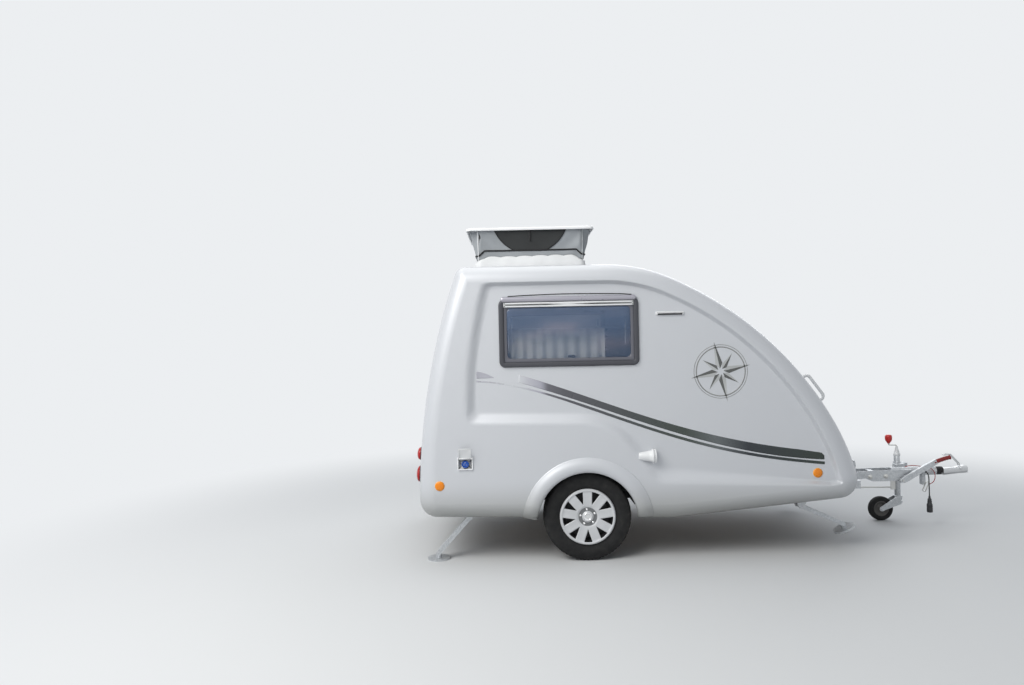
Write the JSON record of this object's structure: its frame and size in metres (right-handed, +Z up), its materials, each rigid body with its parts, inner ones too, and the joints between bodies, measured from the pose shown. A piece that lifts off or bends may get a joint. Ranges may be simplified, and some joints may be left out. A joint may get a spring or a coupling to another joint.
{
  "type": "travel caravan",
  "caption": "Small two-berth travel caravan with a drop-shaped silver body, raised pop-top roof, single braked axle, jockey wheel and corner steadies, parked.",
  "frame": {"origin": "centre of the bounding box on the ground under the caravan", "axes": "+X forward along the drawbar, +Y to the caravan's left, +Z up"},
  "size_m": [4.433, 1.9661, 2.435],
  "materials": {
    "body_paint": "metallic",
    "floor_ply": "matt",
    "housing_plastic": "matt",
    "window_trim": "satin",
    "window_acrylic": "gloss",
    "white_plastic": "satin",
    "grey_plastic": "satin",
    "bellows_fabric": "matt",
    "red_lens": "gloss",
    "orange_lens": "gloss",
    "clear_lens": "gloss",
    "plate_white": "satin",
    "galvanised": "galvanised",
    "coupling_metal": "zinc",
    "black_rubber": "matt",
    "rim_steel": "satin",
    "cover_silver": "satin",
    "black_plastic": "satin",
    "red_plastic": "satin"
  },
  "bodies": {
    "caravan": {"body_shell": "body_paint", "floor_panel": "floor_ply", "wheel_housing_right": "housing_plastic", "wheel_housing_left": "housing_plastic", "arch_flare_right": "body_paint", "arch_flare_left": "body_paint", "window_frame_right": "window_trim", "window_frame_left": "window_trim", "window_pane_right": "window_acrylic", "window_pane_left": "window_acrylic", "door_hinges": "grey_plastic", "roof_upstand": "white_plastic", "pop_top_fabric": "bellows_fabric", "tail_lamps": "red_lens", "plate_panel": "plate_white", "marker_lamps": "orange_lens", "front_lamps": "clear_lens", "grab_handles": "white_plastic", "inlet_box": "white_plastic", "wall_cowl": "white_plastic", "side_vents": "white_plastic", "chassis_frame": "galvanised", "axle_beam": "galvanised", "drawbar_arms": "galvanised", "overrun_body": "coupling_metal", "overrun_bellows": "black_rubber", "coupling_head": "coupling_metal", "brake_bracket": "galvanised", "brake_rod": "galvanised", "jockey_tube": "galvanised", "jockey_clamp": "galvanised", "jockey_crank": "red_plastic", "electrics_cable": "black_plastic", "electrics_plug": "black_plastic", "breakaway_cable": "red_plastic", "breakaway_clip": "galvanised"},
    "rear_door": {"rear_door": "body_paint", "door_window": "window_acrylic", "door_handle": "grey_plastic"},
    "pop_top_lid": {"pop_top_lid": "white_plastic"},
    "wheel_right": {"tyre_right": "black_rubber", "wheel_right": "rim_steel", "wheel_cover_right": "cover_silver"},
    "wheel_left": {"tyre_left": "black_rubber", "wheel_left": "rim_steel", "wheel_cover_left": "cover_silver"},
    "jockey_fork": {"jockey_fork": "galvanised"},
    "jockey_wheel": {"jockey_wheel": "black_rubber"},
    "handbrake_lever": {"handbrake_lever": "galvanised"},
    "inlet_flap": {"inlet_flap": "white_plastic"},
    "steady_front_right": {"steady_front_right": "galvanised"},
    "steady_front_left": {"steady_front_left": "galvanised"},
    "steady_rear_right": {"steady_rear_right": "galvanised"},
    "steady_rear_left": {"steady_rear_left": "galvanised"}
  },
  "joints": [
    {"name": "wheel_right_spin", "type": "hinge", "parent": "caravan", "child": "wheel_right", "pos_m": [-0.9785, -0.8075, 0.3125], "axis": [0, 1, 0], "continuous": true},
    {"name": "wheel_left_spin", "type": "hinge", "parent": "caravan", "child": "wheel_left", "pos_m": [-0.9785, 0.8075, 0.3125], "axis": [0, 1, 0], "continuous": true},
    {"name": "jockey_swivel", "type": "hinge", "parent": "caravan", "child": "jockey_fork", "pos_m": [1.7155, 0.15, 0.2], "axis": [0, 0, 1], "continuous": true},
    {"name": "jockey_roll", "type": "hinge", "parent": "jockey_fork", "child": "jockey_wheel", "pos_m": [1.5695, 0.15, 0.1], "axis": [0, 1, 0], "continuous": true},
    {"name": "rear_door", "type": "hinge", "parent": "caravan", "child": "rear_door", "pos_m": [-2.12403, 0.31, 1.255], "axis": [-0.1745, 0, -0.9847], "range_deg": [0, 110]},
    {"name": "pop_top_lift", "type": "slide", "parent": "caravan", "child": "pop_top_lid", "axis": [0, 0, 1], "range_m": [-0.205, 0], "deforming": ["pop_top_fabric"]},
    {"name": "handbrake", "type": "hinge", "parent": "caravan", "child": "handbrake_lever", "pos_m": [1.6405, -0.08, 0.372], "axis": [0, -1, 0], "range_deg": [0, 55]},
    {"name": "inlet_flap", "type": "hinge", "parent": "caravan", "child": "inlet_flap", "pos_m": [-1.8315, -0.959, 0.75], "axis": [1, 0, 0], "range_deg": [0, 152]},
    {"name": "steady_rear_right", "type": "hinge", "parent": "caravan", "child": "steady_rear_right", "pos_m": [-1.8185, -0.75, 0.3], "axis": [0, 1, 0], "range_deg": [0, 40]},
    {"name": "steady_front_right", "type": "hinge", "parent": "caravan", "child": "steady_front_right", "pos_m": [0.6215, -0.6, 0.3], "axis": [0, -1, 0], "range_deg": [-24, 16]},
    {"name": "steady_rear_left", "type": "hinge", "parent": "caravan", "child": "steady_rear_left", "pos_m": [-1.8185, 0.75, 0.3], "axis": [0, 1, 0], "range_deg": [0, 40]},
    {"name": "steady_front_left", "type": "hinge", "parent": "caravan", "child": "steady_front_left", "pos_m": [0.6215, 0.6, 0.3], "axis": [0, -1, 0], "range_deg": [-24, 16]}
  ]
}
